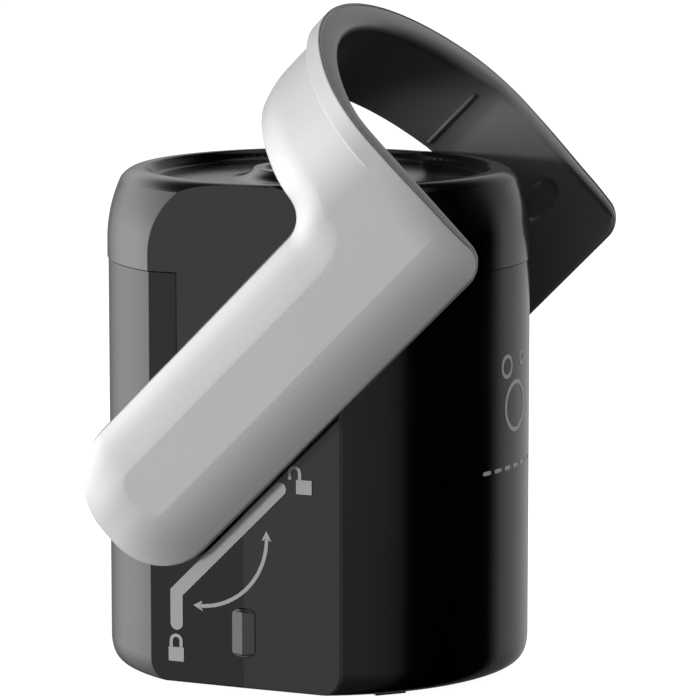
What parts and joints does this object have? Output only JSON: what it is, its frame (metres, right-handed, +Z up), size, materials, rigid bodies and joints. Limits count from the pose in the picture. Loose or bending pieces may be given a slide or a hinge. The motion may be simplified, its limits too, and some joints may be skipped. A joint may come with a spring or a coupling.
{
  "type": "sparkling-wine bottle stopper",
  "caption": "Round stopper for sparkling-wine bottles with a U-shaped locking lever, sprung seal, collar claws and a gas charging port in its dished top.",
  "frame": {"origin": "on the bottle's axis at the mouth of the bottle socket, in the base plane", "axes": "+Z up the bottle's axis, out of the top; X along the lever's pivot; -Y towards the side where the locked lever's band lies"},
  "size_m": [0.0484, 0.052, 0.0753],
  "materials": {
    "body_black": "glossy black",
    "flat_black": "glossy black",
    "silver": "fine bead-blasted satin",
    "liner_grey": "matte dark grey",
    "inner_plastic": "moulded",
    "white_plastic": "moulded acetal",
    "steel": "turned",
    "brass": "turned",
    "seal_rubber": "food-grade soft rubber"
  },
  "bodies": {
    "stopper_body": {"body_shell": "flat_black", "top_cap": "body_black", "top_lid": "body_black", "base_ring": "body_black", "base_screws": "steel", "carrier": "inner_plastic", "claw_pins": "steel", "shell_screws": "steel", "charge_port": "body_black", "valve_seat": "brass", "valve_oring": "seal_rubber", "pivot_bush_right": "brass", "pivot_bush_left": "brass", "thrust_washer_right": "white_plastic", "thrust_washer_left": "white_plastic"},
    "lever": {"lever_shell": "silver", "lever_liner": "liner_grey", "pivot_pin_right": "steel", "pivot_pin_left": "steel"},
    "lock_sleeve": {"lock_sleeve": "white_plastic"},
    "seal": {"seal_piston": "white_plastic", "seal_plug": "seal_rubber", "gas_tube": "steel", "seal_spring": "steel"},
    "valve": {"valve_pin": "steel", "valve_spring": "steel"},
    "claw_front_left": {"claw_front_left": "steel"},
    "claw_front_right": {"claw_front_right": "steel"},
    "claw_back_right": {"claw_back_right": "steel"},
    "claw_back_left": {"claw_back_left": "steel"}
  },
  "joints": [
    {"name": "lever_pivot", "type": "hinge", "parent": "stopper_body", "child": "lever", "pos_m": [0, 0, 0.0324], "axis": [1, 0, 0], "range_deg": [0, 135]},
    {"name": "sleeve_slide", "type": "slide", "parent": "stopper_body", "child": "lock_sleeve", "axis": [0, 0, -1], "range_m": [0, 0.00463]},
    {"name": "claw_front_left_hinge", "type": "hinge", "parent": "stopper_body", "child": "claw_front_left", "pos_m": [-0.01287, -0.01287, 0.04], "axis": [0.7071, -0.7071, 0], "range_deg": [0, 4.5]},
    {"name": "claw_front_right_hinge", "type": "hinge", "parent": "stopper_body", "child": "claw_front_right", "pos_m": [0.01287, -0.01287, 0.04], "axis": [0.7071, 0.7071, 0], "range_deg": [0, 4.5]},
    {"name": "claw_back_right_hinge", "type": "hinge", "parent": "stopper_body", "child": "claw_back_right", "pos_m": [0.01287, 0.01287, 0.04], "axis": [-0.7071, 0.7071, 0], "range_deg": [0, 4.5]},
    {"name": "claw_back_left_hinge", "type": "hinge", "parent": "stopper_body", "child": "claw_back_left", "pos_m": [-0.01287, 0.01287, 0.04], "axis": [-0.7071, -0.7071, 0], "range_deg": [0, 4.5]},
    {"name": "seal_slide", "type": "slide", "parent": "stopper_body", "child": "seal", "axis": [0, 0, 1], "range_m": [0, 0.002], "stiffness_N_per_m": 2000, "springref_m": -0.003, "deforming": ["seal_spring"]},
    {"name": "valve_slide", "type": "slide", "parent": "stopper_body", "child": "valve", "axis": [0, 0, -1], "range_m": [0, 0.001], "stiffness_N_per_m": 600, "springref_m": -0.0015, "deforming": ["valve_spring"]}
  ],
  "couplings": [
    {"joint": "sleeve_slide", "follows": "lever_pivot", "m_per_rad": 0.0019604},
    {"joint": "claw_front_left_hinge", "follows": "lever_pivot", "ratio": 0.032593},
    {"joint": "claw_front_right_hinge", "follows": "lever_pivot", "ratio": 0.032593},
    {"joint": "claw_back_right_hinge", "follows": "lever_pivot", "ratio": 0.032593},
    {"joint": "claw_back_left_hinge", "follows": "lever_pivot", "ratio": 0.032593}
  ]
}
